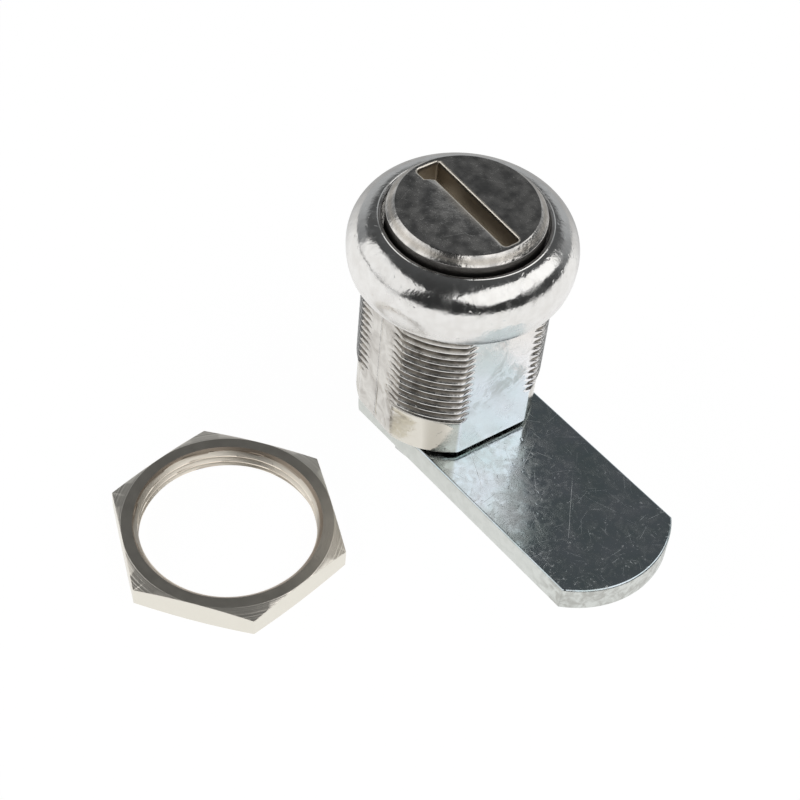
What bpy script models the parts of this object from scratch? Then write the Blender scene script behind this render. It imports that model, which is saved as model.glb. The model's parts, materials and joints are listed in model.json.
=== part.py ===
"""Quarter-turn cam lock with its panel nut lying beside it.

The lock stands on the head of its fixing bolt, slotted face up. Z is the axis
of the turning plug, X points along the cam, and the origin is the middle of
the bolt head's end face. Every length is in metres.
"""
import math

import bmesh
import bpy

MM = 0.001

# Fits
GAP = 0.3 * MM                 # between pieces that touch or run on each other
HEAD_CLEARANCE = 0.35 * MM     # round the plug's head, the dark ring in the face

# Threaded stem of the body
THREAD_RADIUS = 11.0 * MM
THREAD_PITCH = 1.0 * MM
THREAD_DEPTH = 0.6 * MM
THREAD_TURNS = 15
TAIL_LENGTH = 5.3 * MM         # plain end of the stem, below the thread
TAIL_RADIUS = 10.75 * MM
TAIL_CHAMFER = 0.35 * MM
FLAT_ACROSS = 19.2 * MM        # the two wide flats that key the stem in its panel
RELIEF_ACROSS = 20.5 * MM      # the two narrow flats, just inside the thread's root
BODY_TURN = math.radians(-5.2)  # wide flats against the cam, as the lock lies

# Round collar on the stem
COLLAR_RADIUS = 13.1 * MM
COLLAR_HEIGHT = 7.5 * MM
COLLAR_BELLY = 3.3 * MM        # height of its widest line above the seat
SEAT_RADIUS = 12.1 * MM        # flat ring under the collar, outer radius
RIM_ROUND = 0.25 * MM          # lip between the collar and the plug's recess
RECESS_DEPTH = 4.2 * MM

# Plug
HEAD_RADIUS = 9.0 * MM
HEAD_CHAMFER = 0.95 * MM
HEAD_PROUD = 1.9 * MM          # how far the face stands above the collar
BARREL_RADIUS = 6.2 * MM
SHANK_ACROSS = 8.0 * MM        # square end that turns the cam
SLOT_LENGTH = 14.9 * MM
SLOT_WIDTH = 2.05 * MM
SLOT_DEPTH = 2.6 * MM
SLOT_CORNER = 0.6 * MM         # cut corners at the end towards the cam's tip
SLOT_TURN = math.radians(-3.8)  # against the cam
SLOT_OFFSET = 0.4 * MM         # its middle beside the axis
NOTCH_LENGTH = 2.0 * MM        # the slot's wider end, away from the cam's tip
NOTCH_WIDTH = 1.05 * MM        # how much wider, on one side only
NOTCH_TAPER = 0.4 * MM         # how far its step slopes
DRILL_POINT = 1.5 * MM         # cone at the end of the tapped hole

# Seal in the plug's groove
SEAL_SECTION = 1.5 * MM
SEAL_BELOW_HEAD = 4.0 * MM     # middle of the seal under the head's underside

# Quarter-turn stop
TURN_RANGE = math.radians(90.0)
STOP_THICKNESS = 2.2 * MM
STOP_RADIUS = 7.2 * MM
STOP_LUG_RADIUS = 8.3 * MM
STOP_LUG_ANGLE = math.radians(40.0)
STOP_PLACE = math.pi           # middle of the lug, away from the cam's tip

# Cam
CAM_THICKNESS = 3.4 * MM
CAM_WIDTH = 17.4 * MM
CAM_HEEL_RADIUS = 10.3 * MM
CAM_SIDE_LENGTH = 30.7 * MM    # axis to the corners of the tip
CAM_REACH = 34.5 * MM          # axis to the crown of the tip
CAM_EDGE = 0.25 * MM           # rolled edge from the punch
CAM_STANDOFF = 0.5 * MM        # dark gap between stem and cam

# Fixing bolt and its spring washer
BOLT_ACROSS = 10.0 * MM
BOLT_HEAD_HEIGHT = 4.0 * MM
BOLT_CHAMFER = 0.4 * MM         # drop of its corners
BOLT_FACE_STEP = 0.2 * MM       # chamfer ring inside the flats
BOLT_TURN = math.radians(12.0)
BOLT_RADIUS = 2.7 * MM
BOLT_LENGTH = 12.0 * MM
SPRING_THICKNESS = 1.5 * MM
SPRING_RADIUS = 5.6 * MM
SPRING_SPLIT = 0.9 * MM
SPRING_SPLIT_LEAN = math.radians(25.0)
SPRING_SPLIT_PLACE = math.radians(200.0)

# Panel nut, off the stem and lying flat beside the lock
NUT_WALL = 2.0 * MM            # bore to the middle of a side
NUT_HEIGHT = 3.4 * MM
NUT_CHAMFER = 0.45 * MM        # drop of its corners
NUT_FACE_STEP = 0.1 * MM       # chamfer ring inside the flats
NUT_PLAY = 0.1 * MM            # bore against the thread's root
NUT_COUNTERSINK = 0.65 * MM
NUT_PLACE = (-2.9 * MM, -30.1 * MM)
NUT_TURN = math.radians(36.2)

# Facets of the round pieces
ROUND_STEPS = 48
SMALL_STEPS = 32
CROWN_STEPS = 12
UNDER_STEPS = 7
RIM_STEPS = 3
WINDOW_STEPS = 20
LUG_STEPS = 8
CAM_END_STEPS = 14
SEAL_SECTION_STEPS = 10

# Heights, stacked up from the bolt's end face
BOLT_TOP = BOLT_HEAD_HEIGHT
SPRING_BOTTOM = BOLT_TOP + GAP
SPRING_TOP = SPRING_BOTTOM + SPRING_THICKNESS
CAM_BOTTOM = SPRING_TOP + GAP
CAM_TOP = CAM_BOTTOM + CAM_THICKNESS
SHANK_BOTTOM = CAM_BOTTOM + GAP
STOP_BOTTOM = CAM_TOP + GAP
STOP_TOP = STOP_BOTTOM + STOP_THICKNESS
BARREL_BOTTOM = STOP_TOP + GAP
STEM_BOTTOM = CAM_TOP + CAM_STANDOFF
THREAD_BOTTOM = STEM_BOTTOM + TAIL_LENGTH
SEAT_HEIGHT = THREAD_BOTTOM + THREAD_TURNS * THREAD_PITCH
COLLAR_TOP = SEAT_HEIGHT + COLLAR_HEIGHT
RECESS_FLOOR = COLLAR_TOP - RECESS_DEPTH
HEAD_BOTTOM = RECESS_FLOOR + GAP
FACE_HEIGHT = COLLAR_TOP + HEAD_PROUD
SEAL_HEIGHT = HEAD_BOTTOM - SEAL_BELOW_HEAD

# Radii that follow from the fits
RECESS_RADIUS = HEAD_RADIUS + HEAD_CLEARANCE
BORE_RADIUS = BARREL_RADIUS + GAP
SEAL_RING_RADIUS = BORE_RADIUS - GAP - SEAL_SECTION / 2
GROOVE_RADIUS = SEAL_RING_RADIUS - SEAL_SECTION / 2 - GAP
STOP_BORE_RADIUS = STOP_RADIUS + GAP
SQUARE_HOLE = SHANK_ACROSS + 2 * GAP
TAPPED_RADIUS = BOLT_RADIUS + GAP
NUT_BORE_RADIUS = THREAD_RADIUS - THREAD_DEPTH + NUT_PLAY
NUT_ACROSS = 2 * (NUT_BORE_RADIUS + NUT_WALL)
CUT_OVER = 2.0 * MM            # how far a cutter runs past what it cuts
WELD_DISTANCE = 0.005 * MM


def new_collection(name):
    collection = bpy.data.collections.new(name)
    bpy.context.scene.collection.children.link(collection)
    return collection


def start_clean():
    for obj in list(bpy.data.objects):
        bpy.data.objects.remove(obj)


def material(name, colour, roughness, metallic):
    mat = bpy.data.materials.new(name)
    mat.use_nodes = True
    shader = mat.node_tree.nodes["Principled BSDF"]
    shader.inputs["Base Color"].default_value = (*colour, 1.0)
    shader.inputs["Roughness"].default_value = roughness
    shader.inputs["Metallic"].default_value = metallic
    return mat


def make_object(name, mesh, collection, mat=None):
    obj = bpy.data.objects.new(name, mesh)
    collection.objects.link(obj)
    if mat:
        mesh.materials.append(mat)
    return obj


def turned(name, profile, collection, mat=None, closed=True, steps=ROUND_STEPS):
    """Turn a list of (radius, height) points round Z, outer side going down."""
    count = len(profile)
    edges = [(i, i + 1) for i in range(count - 1)]
    if closed:
        edges.append((count - 1, 0))
    mesh = bpy.data.meshes.new(name)
    mesh.from_pydata([(radius, 0.0, height) for radius, height in profile], edges, [])
    obj = make_object(name, mesh, collection, mat)
    screw = obj.modifiers.new("turn", "SCREW")
    screw.axis = "Z"
    screw.steps = steps
    screw.render_steps = steps
    screw.use_merge_vertices = True
    screw.merge_threshold = WELD_DISTANCE
    if not closed:
        weld = obj.modifiers.new("close_on_axis", "WELD")
        weld.merge_threshold = WELD_DISTANCE
    return obj


def arc(centre, size, start, end, count):
    """Points on an ellipse in the profile's plane, angles in degrees from +X."""
    points = []
    for i in range(count + 1):
        angle = math.radians(start + (end - start) * i / count)
        points.append((centre[0] + size[0] * math.cos(angle), centre[1] + size[1] * math.sin(angle)))
    return points


def box_mesh(name, low, high):
    """A box between two corners, with its origin at the world's."""
    bm = bmesh.new()
    bmesh.ops.create_cube(bm, size=1.0)
    for vert in bm.verts:
        vert.co = [low[k] + (vert.co[k] + 0.5) * (high[k] - low[k]) for k in range(3)]
    mesh = bpy.data.meshes.new(name)
    bm.to_mesh(mesh)
    bm.free()
    return mesh


def prism(name, outline, bottom, top, collection, mat=None):
    """Extrude a flat outline between two heights."""
    curve = bpy.data.curves.new(name, "CURVE")
    curve.dimensions = "2D"
    curve.fill_mode = "BOTH"
    curve.extrude = (top - bottom) / 2
    spline = curve.splines.new("POLY")
    spline.points.add(len(outline) - 1)
    for point, (x, y) in zip(spline.points, outline):
        point.co = (x, y, 0.0, 1.0)
    spline.use_cyclic_u = True
    source = bpy.data.objects.new(name + "_outline", curve)
    collection.objects.link(source)
    bpy.context.view_layer.update()
    depsgraph = bpy.context.evaluated_depsgraph_get()
    mesh = bpy.data.meshes.new_from_object(source.evaluated_get(depsgraph))
    bm = bmesh.new()
    bm.from_mesh(mesh)
    bmesh.ops.remove_doubles(bm, verts=bm.verts, dist=0.000001)
    bmesh.ops.translate(bm, verts=bm.verts, vec=(0.0, 0.0, (bottom + top) / 2))
    bmesh.ops.recalc_face_normals(bm, faces=bm.faces)
    bm.to_mesh(mesh)
    bm.free()
    bpy.data.objects.remove(source)
    mesh.name = name
    return make_object(name, mesh, collection, mat)


def hide_cutter(cutter):
    cutter.hide_render = True
    cutter.display_type = "WIRE"


def combine(obj, other, operation):
    boolean = obj.modifiers.new(operation.lower(), "BOOLEAN")
    boolean.operation = operation
    boolean.solver = "EXACT"
    boolean.object = other
    hide_cutter(other)


def smooth(obj, angle=30.0):
    """Shade a turned piece smooth and keep its machined edges sharp."""
    depsgraph = bpy.context.evaluated_depsgraph_get()
    mesh = bpy.data.meshes.new_from_object(obj.evaluated_get(depsgraph))
    mesh.shade_smooth()
    mesh.set_sharp_from_angle(angle=math.radians(angle))
    obj.modifiers.clear()
    obj.data = mesh
    mesh.name = obj.name


def hexagon(across, turn=0.0):
    corner = across / 2 / math.cos(math.pi / 6)
    angles = [turn + math.radians(60.0 * i) for i in range(6)]
    return [(corner * math.cos(a), corner * math.sin(a)) for a in angles]


def square_outline(across):
    half = across / 2
    return [(-half, -half), (half, -half), (half, half), (-half, half)]


def sector_outline(radius, start, end, steps):
    """A pie slice with its point on the axis."""
    points = [(0.0, 0.0)]
    for i in range(steps + 1):
        angle = start + (end - start) * i / steps
        points.append((radius * math.cos(angle), radius * math.sin(angle)))
    return points


def thread_profile():
    """Crests and roots of the thread, from under the collar down to the tail."""
    root = THREAD_RADIUS - THREAD_DEPTH
    points = []
    for turn in range(THREAD_TURNS):
        top = SEAT_HEIGHT - turn * THREAD_PITCH
        points.append((root, top))
        points.append((THREAD_RADIUS, top - THREAD_PITCH / 2))
    points.append((root, THREAD_BOTTOM))
    return points


def body_profile():
    belly = SEAT_HEIGHT + COLLAR_BELLY
    lip = (RECESS_RADIUS + RIM_ROUND, COLLAR_TOP - RIM_ROUND)
    crown = arc((RECESS_RADIUS + RIM_ROUND, belly),
                (COLLAR_RADIUS - RECESS_RADIUS - RIM_ROUND, COLLAR_TOP - belly), 90.0, 0.0, CROWN_STEPS)
    under = arc((SEAT_RADIUS, belly), (COLLAR_RADIUS - SEAT_RADIUS, COLLAR_BELLY),
                0.0, -90.0, UNDER_STEPS)
    rim = arc(lip, (RIM_ROUND, RIM_ROUND), 180.0, 90.0, RIM_STEPS)
    tail = [(TAIL_RADIUS, THREAD_BOTTOM - TAIL_CHAMFER),
            (TAIL_RADIUS, STEM_BOTTOM + TAIL_CHAMFER),
            (TAIL_RADIUS - TAIL_CHAMFER, STEM_BOTTOM)]
    inside = [(STOP_BORE_RADIUS, STEM_BOTTOM), (STOP_BORE_RADIUS, BARREL_BOTTOM),
              (BORE_RADIUS, BARREL_BOTTOM), (BORE_RADIUS, RECESS_FLOOR),
              (RECESS_RADIUS, RECESS_FLOOR)]
    return rim[:-1] + crown + under[1:] + thread_profile() + tail + inside


def flat_cutters(name, across, along_x, collection):
    """Two boxes that leave a pair of flats on the stem, in the body's frame."""
    cutters = []
    for side in (-1.0, 1.0):
        near, far = side * across / 2, side * (THREAD_RADIUS + CUT_OVER)
        low_n, high_n = min(near, far), max(near, far)
        reach = THREAD_RADIUS + CUT_OVER
        if along_x:
            low, high = (low_n, -reach), (high_n, reach)
        else:
            low, high = (-reach, low_n), (reach, high_n)
        label = name + ("_left" if side < 0 else "_right")
        mesh = box_mesh(label, (*low, STEM_BOTTOM - CUT_OVER), (*high, SEAT_HEIGHT))
        cutters.append(make_object(label, mesh, collection))
    return cutters


def make_body(parts, cutters):
    zinc = material("nickel_plated_zinc", (0.62, 0.59, 0.54), 0.28, 1.0)
    body = turned("body", body_profile(), parts, zinc)
    body.rotation_euler.z = BODY_TURN
    shapes = flat_cutters("wide_flat", FLAT_ACROSS, True, cutters)
    shapes += flat_cutters("relief_flat", RELIEF_ACROSS, False, cutters)
    window_half = (TURN_RANGE + STOP_LUG_ANGLE) / 2 + GAP / STOP_LUG_RADIUS
    window_middle = STOP_PLACE + TURN_RANGE / 2
    slice_of_bore = sector_outline(STOP_LUG_RADIUS + GAP, window_middle - window_half,
                                   window_middle + window_half, WINDOW_STEPS)
    shapes.append(prism("stop_window", slice_of_bore, STEM_BOTTOM - CUT_OVER, BARREL_BOTTOM, cutters))
    for shape in shapes:
        shape.rotation_euler.z = BODY_TURN
        combine(body, shape, "DIFFERENCE")
    return body


def plug_profile():
    half_groove = SEAL_SECTION / 2 + GAP
    return [(0.0, FACE_HEIGHT), (HEAD_RADIUS - HEAD_CHAMFER, FACE_HEIGHT),
            (HEAD_RADIUS, FACE_HEIGHT - HEAD_CHAMFER), (HEAD_RADIUS, HEAD_BOTTOM),
            (BARREL_RADIUS, HEAD_BOTTOM), (BARREL_RADIUS, SEAL_HEIGHT + half_groove),
            (GROOVE_RADIUS, SEAL_HEIGHT + half_groove), (GROOVE_RADIUS, SEAL_HEIGHT - half_groove),
            (BARREL_RADIUS, SEAL_HEIGHT - half_groove), (BARREL_RADIUS, BARREL_BOTTOM),
            (0.0, BARREL_BOTTOM)]


def slot_outline():
    """The coin slot seen from above: a long slot with a step at its blind end."""
    half, width = SLOT_LENGTH / 2, SLOT_WIDTH / 2
    points = [(half, -width + SLOT_CORNER), (half - SLOT_CORNER, -width),
              (-half + NOTCH_LENGTH, -width),
              (-half + NOTCH_LENGTH - NOTCH_TAPER, -width - NOTCH_WIDTH),
              (-half, -width - NOTCH_WIDTH), (-half, width), (half - SLOT_CORNER, width),
              (half, width - SLOT_CORNER)]
    cos, sin = math.cos(SLOT_TURN), math.sin(SLOT_TURN)
    return [(x * cos - y * sin, x * sin + y * cos + SLOT_OFFSET) for x, y in points]


def make_plug(parts, cutters):
    nickel = material("dark_nickel", (0.42, 0.41, 0.40), 0.22, 1.0)
    plug = turned("plug", plug_profile(), parts, nickel, closed=False)
    shank = prism("square_shank", square_outline(SHANK_ACROSS), SHANK_BOTTOM,
                  BARREL_BOTTOM + CUT_OVER, cutters)
    combine(plug, shank, "UNION")
    slot = prism("coin_slot", slot_outline(), FACE_HEIGHT - SLOT_DEPTH, FACE_HEIGHT + CUT_OVER, cutters)
    combine(plug, slot, "DIFFERENCE")
    depth = BOLT_TOP + BOLT_LENGTH + GAP
    hole = turned("tapped_hole", [(0.0, depth + DRILL_POINT), (TAPPED_RADIUS, depth),
                  (TAPPED_RADIUS, SHANK_BOTTOM - CUT_OVER), (0.0, SHANK_BOTTOM - CUT_OVER)],
                  cutters, closed=False, steps=SMALL_STEPS)
    combine(plug, hole, "DIFFERENCE")
    return plug


def make_seal(parts):
    rubber = material("black_rubber", (0.02, 0.02, 0.02), 0.7, 0.0)
    bpy.ops.mesh.primitive_torus_add(major_radius=SEAL_RING_RADIUS, minor_radius=SEAL_SECTION / 2,
                                     major_segments=SMALL_STEPS, minor_segments=SEAL_SECTION_STEPS,
                                     location=(0.0, 0.0, SEAL_HEIGHT))
    seal = bpy.context.object
    seal.name = "plug_seal"
    seal.data.name = "plug_seal"
    for collection in list(seal.users_collection):
        collection.objects.unlink(seal)
    parts.objects.link(seal)
    seal.data.materials.append(rubber)
    return seal


def make_stop_washer(parts, cutters):
    """The washer on the square shank whose lug runs between the body's shoulders."""
    steel = material("zinc_plated_steel", (0.55, 0.56, 0.55), 0.35, 1.0)
    start, end = STOP_PLACE - STOP_LUG_ANGLE / 2, STOP_PLACE + STOP_LUG_ANGLE / 2
    outline = []
    for i in range(LUG_STEPS + 1):
        angle = start + (end - start) * i / LUG_STEPS
        outline.append((STOP_LUG_RADIUS * math.cos(angle), STOP_LUG_RADIUS * math.sin(angle)))
    for i in range(ROUND_STEPS // 2 + 1):
        angle = end + (2 * math.pi - STOP_LUG_ANGLE) * i / (ROUND_STEPS // 2)
        outline.append((STOP_RADIUS * math.cos(angle), STOP_RADIUS * math.sin(angle)))
    washer = prism("stop_washer", outline, STOP_BOTTOM, STOP_TOP, parts, steel)
    hole = prism("stop_square", square_outline(SQUARE_HOLE), STOP_BOTTOM - CUT_OVER,
                 STOP_TOP + CUT_OVER, cutters)
    combine(washer, hole, "DIFFERENCE")
    return washer


def cam_outline():
    """Flat cam: a heel round the axis, straight sides and a low crowned tip."""
    half = CAM_WIDTH / 2
    rise = CAM_REACH - CAM_SIDE_LENGTH
    crown = (half ** 2 + rise ** 2) / (2 * rise)
    tip_angle = math.degrees(math.asin(half / crown))
    heel_angle = math.degrees(math.asin(half / CAM_HEEL_RADIUS))
    tip = arc((CAM_REACH - crown, 0.0), (crown, crown), -tip_angle, tip_angle, CAM_END_STEPS)
    heel = arc((0.0, 0.0), (CAM_HEEL_RADIUS, CAM_HEEL_RADIUS),
               180.0 - heel_angle, 180.0 + heel_angle, CAM_END_STEPS)
    return tip + heel


def make_cam(parts, cutters):
    steel = material("bright_zinc_plate", (0.50, 0.53, 0.54), 0.20, 1.0)
    cam = prism("cam", cam_outline(), CAM_BOTTOM, CAM_TOP, parts, steel)
    hole = prism("cam_square", square_outline(SQUARE_HOLE), CAM_BOTTOM - CUT_OVER,
                 CAM_TOP + CUT_OVER, cutters)
    combine(cam, hole, "DIFFERENCE")
    edge = cam.modifiers.new("rolled_edge", "BEVEL")
    edge.width = CAM_EDGE
    edge.segments = 2
    edge.limit_method = "ANGLE"
    edge.angle_limit = math.radians(40.0)
    return cam


def make_spring_washer(parts, cutters):
    steel = material("spring_steel", (0.40, 0.39, 0.37), 0.40, 1.0)
    inner = BOLT_RADIUS + GAP
    ring = turned("spring_washer", [(inner, SPRING_TOP), (SPRING_RADIUS, SPRING_TOP),
                  (SPRING_RADIUS, SPRING_BOTTOM), (inner, SPRING_BOTTOM)], parts, steel,
                  steps=SMALL_STEPS)
    mesh = box_mesh("washer_split", (0.0, -SPRING_SPLIT / 2, -SPRING_THICKNESS * 2),
                    (SPRING_RADIUS + CUT_OVER, SPRING_SPLIT / 2, SPRING_THICKNESS * 2))
    split = make_object("washer_split", mesh, cutters)
    split.location.z = (SPRING_BOTTOM + SPRING_TOP) / 2
    split.rotation_euler = (SPRING_SPLIT_LEAN, 0.0, SPRING_SPLIT_PLACE)
    combine(ring, split, "DIFFERENCE")
    return ring


def hex_blank(name, across, face_radius, drop, bottom, top, ends, cutters, steps):
    """The turned blank that a hexagon is cut from, chamfered at one or both ends."""
    corner = across / 2 / math.cos(math.pi / 6)
    slope = drop / (corner - face_radius)
    reach = corner + CUT_OVER
    fall = slope * (reach - face_radius)
    upper = [(0.0, top), (face_radius, top), (reach, top - fall)] if ends == "both" else [
        (0.0, top), (reach, top)]
    lower = [(reach, bottom + fall), (face_radius, bottom), (0.0, bottom)]
    return turned(name, upper + lower, cutters, closed=False, steps=steps)


def make_bolt(parts, cutters):
    steel = material("bolt_steel", (0.48, 0.47, 0.44), 0.32, 1.0)
    bolt = prism("fixing_bolt", hexagon(BOLT_ACROSS, BOLT_TURN), -CUT_OVER, BOLT_TOP + CUT_OVER,
                 parts, steel)
    face_radius = BOLT_ACROSS / 2 - BOLT_FACE_STEP
    combine(bolt, hex_blank("bolt_blank", BOLT_ACROSS, face_radius, BOLT_CHAMFER, 0.0, BOLT_TOP,
                            "end", cutters, SMALL_STEPS), "INTERSECT")
    end = BOLT_TOP + BOLT_LENGTH
    shank = turned("bolt_shank", [(0.0, end), (BOLT_RADIUS - BOLT_CHAMFER, end),
                   (BOLT_RADIUS, end - BOLT_CHAMFER), (BOLT_RADIUS, BOLT_TOP - BOLT_HEAD_HEIGHT / 2),
                   (0.0, BOLT_TOP - BOLT_HEAD_HEIGHT / 2)], cutters, closed=False, steps=SMALL_STEPS)
    combine(bolt, shank, "UNION")
    return bolt


def make_nut(parts, cutters):
    nickel = material("warm_nickel", (0.66, 0.62, 0.54), 0.30, 1.0)
    nut = prism("panel_nut", hexagon(NUT_ACROSS, NUT_TURN), -CUT_OVER, NUT_HEIGHT + CUT_OVER,
                parts, nickel)
    face_radius = NUT_ACROSS / 2 - NUT_FACE_STEP
    blank = hex_blank("nut_blank", NUT_ACROSS, face_radius, NUT_CHAMFER, 0.0, NUT_HEIGHT,
                      "both", cutters, ROUND_STEPS)
    combine(nut, blank, "INTERSECT")
    mouth = NUT_BORE_RADIUS + NUT_COUNTERSINK
    bore = turned("nut_bore", [(0.0, NUT_HEIGHT + CUT_OVER), (mouth + CUT_OVER, NUT_HEIGHT + CUT_OVER),
                  (NUT_BORE_RADIUS, NUT_HEIGHT - NUT_COUNTERSINK), (NUT_BORE_RADIUS, NUT_COUNTERSINK),
                  (mouth + CUT_OVER, -CUT_OVER), (0.0, -CUT_OVER)], cutters, closed=False)
    combine(nut, bore, "DIFFERENCE")
    for piece in (nut, blank, bore):
        piece.location = (*NUT_PLACE, 0.0)
    return nut


def make_turning_group(pieces, parts):
    """The empty on the plug's axis that carries everything that turns."""
    pivot = bpy.data.objects.new("plug_turn", None)
    parts.objects.link(pivot)
    for piece in pieces:
        piece.parent = pivot
    return pivot


def main():
    start_clean()
    parts = new_collection("cam_lock")
    cutters = new_collection("cutters")
    body = make_body(parts, cutters)
    nut = make_nut(parts, cutters)
    turning = [make_plug(parts, cutters), make_seal(parts), make_stop_washer(parts, cutters),
               make_cam(parts, cutters), make_spring_washer(parts, cutters),
               make_bolt(parts, cutters)]
    make_turning_group(turning, parts)
    bpy.context.view_layer.update()
    for piece in [body, nut] + turning:
        smooth(piece)


main()
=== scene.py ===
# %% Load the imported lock
import json
import math

import bmesh
import bpy
import numpy as np
from mathutils import Matrix, Vector

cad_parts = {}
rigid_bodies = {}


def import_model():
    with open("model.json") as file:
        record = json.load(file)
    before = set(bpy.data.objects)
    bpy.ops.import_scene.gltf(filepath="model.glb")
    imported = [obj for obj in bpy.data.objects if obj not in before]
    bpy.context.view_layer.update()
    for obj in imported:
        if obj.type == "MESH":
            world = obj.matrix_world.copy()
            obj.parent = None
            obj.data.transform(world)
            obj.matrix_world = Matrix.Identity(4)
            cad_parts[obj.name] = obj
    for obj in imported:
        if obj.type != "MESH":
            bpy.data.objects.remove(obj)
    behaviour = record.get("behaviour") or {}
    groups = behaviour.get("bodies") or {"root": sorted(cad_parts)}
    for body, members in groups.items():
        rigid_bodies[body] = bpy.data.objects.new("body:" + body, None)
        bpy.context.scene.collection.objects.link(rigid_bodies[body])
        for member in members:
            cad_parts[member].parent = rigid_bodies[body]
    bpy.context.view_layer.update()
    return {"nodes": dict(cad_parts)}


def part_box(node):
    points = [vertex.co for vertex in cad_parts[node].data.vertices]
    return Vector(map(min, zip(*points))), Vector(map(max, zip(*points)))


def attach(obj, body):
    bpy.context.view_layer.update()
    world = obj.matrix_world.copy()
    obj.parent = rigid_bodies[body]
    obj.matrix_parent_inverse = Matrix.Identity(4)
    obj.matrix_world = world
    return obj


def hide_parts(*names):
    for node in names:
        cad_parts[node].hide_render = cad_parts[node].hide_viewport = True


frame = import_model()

MM = 0.001

# %% [markdown]
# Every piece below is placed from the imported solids, so its heights are read from their boxes and not
# written again. The plug's axis is Z, the cam points along +X, and the lock stands on its bolt's head.

# %% Read the heights of the lock from the solids
def height_of(node):
    """Lowest and highest point of a solid, in metres."""
    low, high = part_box(node)
    return low[2], high[2]


STEM_BOTTOM, COLLAR_TOP = height_of("body")
CAM_BOTTOM, CAM_TOP = height_of("cam")
SHANK_BOTTOM, FACE_HEIGHT = height_of("plug")
NUT_LOW, NUT_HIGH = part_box("panel_nut")
NUT_CENTRE = (NUT_LOW + NUT_HIGH) / 2
NUT_HEIGHT = NUT_HIGH[2] - NUT_LOW[2]
COLLAR_HEIGHT = 7.5 * MM
SEAT_HEIGHT = COLLAR_TOP - COLLAR_HEIGHT
print("stem from", round(STEM_BOTTOM / MM, 2), "to", round(SEAT_HEIGHT / MM, 2), "mm")
print("face at", round(FACE_HEIGHT / MM, 2), "mm, nut at", [round(v / MM, 2) for v in NUT_CENTRE])

# %% [markdown]
# The camera comes first, so that each finish can be judged in the frame of the photograph. It looks down at
# about 48 degrees and is rolled a little, because the real lock leans slightly onto the tip of its cam.

# %% Camera
VIEW_AZIMUTH = math.radians(46.45)
VIEW_ELEVATION = math.radians(48.32)
VIEW_ROLL = math.radians(5.88)
VIEW_DISTANCE = 202.5 * MM
LOOK_AT = Vector((5.33, -12.25, 20.4)) * MM
LENS_PIXELS = 1800.0
FRAME_PIXELS = 800.0
SENSOR_WIDTH = 36.0

TOWARDS_CAMERA = Vector((math.sin(VIEW_AZIMUTH), -math.cos(VIEW_AZIMUTH), 0.0))
TO_THE_RIGHT = Vector((math.cos(VIEW_AZIMUTH), math.sin(VIEW_AZIMUTH), 0.0))


def direction(azimuth, elevation):
    """Unit vector; azimuth in degrees is 0 at the camera's side and grows to the picture's right."""
    a, e = math.radians(azimuth), math.radians(elevation)
    level = TOWARDS_CAMERA * math.cos(a) + TO_THE_RIGHT * math.sin(a)
    return level * math.cos(e) + Vector((0.0, 0.0, math.sin(e)))


def make_camera():
    data = bpy.data.cameras.new("camera")
    data.sensor_width = SENSOR_WIDTH
    data.lens = LENS_PIXELS * SENSOR_WIDTH / FRAME_PIXELS
    data.clip_start = 10 * MM
    data.clip_end = 20.0
    camera = bpy.data.objects.new("camera", data)
    bpy.context.scene.collection.objects.link(camera)
    back = direction(0.0, math.degrees(VIEW_ELEVATION))
    up = back.cross(TO_THE_RIGHT)
    x_axis = TO_THE_RIGHT * math.cos(VIEW_ROLL) + up * math.sin(VIEW_ROLL)
    y_axis = back.cross(x_axis)
    place = LOOK_AT + back * VIEW_DISTANCE
    camera.matrix_world = Matrix((x_axis, y_axis, back)).transposed().to_4x4()
    camera.matrix_world.translation = place
    bpy.context.scene.camera = camera
    return camera


camera = make_camera()
print("camera at", [round(v / MM, 1) for v in camera.matrix_world.translation], "mm")

# %% [markdown]
# Bright metal shows its surroundings, so the light is built as a studio round the object: a pale table whose
# far part is darker in the metal, a dark room whose far wall is lighter low down, one soft box on the left
# and one wide soft box high on the right. The metal's dark faces and white bands are real reflections.

# %% Studio
ROOM_GREY = 0.032              # in front of the lock, behind the camera
ROOM_FAR_GREY = 0.095          # the wall behind the lock
ROOM_LOW_GLOW = 0.36           # added low down on that wall
ROOM_TINT = (0.97, 1.0, 1.03)
GLOW_FADED = 0.56              # sine of the height angle where that low glow has faded out
GLOW_FULL = 0.38               # and where it is full
TABLE_REACH = 3.0
TABLE_GLOW = 1.07              # how bright the metal sees the table
TABLE_FAR_SHADE = 0.45         # and its far part, behind the lock
TABLE_NEAR_END = 30.0 * MM     # the shade starts this far from the lock's axis
TABLE_FAR_START = 60.0 * MM    # and is full here
TABLE_GREY = 0.86              # the paper that catches the soft shadow
TABLE_GLOW_SHARE = 0.90        # how much of a look at the table is glow and not paper
WHITE = 1.0


def new_piece(name, bm):
    """Turn a bmesh into an object of the scene."""
    mesh = bpy.data.meshes.new(name)
    bm.to_mesh(mesh)
    bm.free()
    piece = bpy.data.objects.new(name, mesh)
    bpy.context.scene.collection.objects.link(piece)
    return piece


def node_tree(holder):
    holder.use_nodes = True
    tree = holder.node_tree
    tree.nodes.clear()
    return tree


def add_node(tree, kind, inputs=None, **attributes):
    """Add a shader node. inputs gives its sockets values or links, and other keys set its attributes."""
    node = tree.nodes.new(kind)
    for key, value in attributes.items():
        setattr(node, key, value)
    for key, value in (inputs or {}).items():
        if isinstance(value, bpy.types.NodeSocket):
            tree.links.new(value, node.inputs[key])
        else:
            node.inputs[key].default_value = value
    return node


def math_node(tree, operation, first, second=None):
    """A Math node on two values, each a number or a socket."""
    values = {0: first} if second is None else {0: first, 1: second}
    return add_node(tree, "ShaderNodeMath", values, operation=operation).outputs[0]


def times(tree, first, second):
    return math_node(tree, "MULTIPLY", first, second)


def plus(tree, first, second):
    return math_node(tree, "ADD", first, second)


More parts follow.
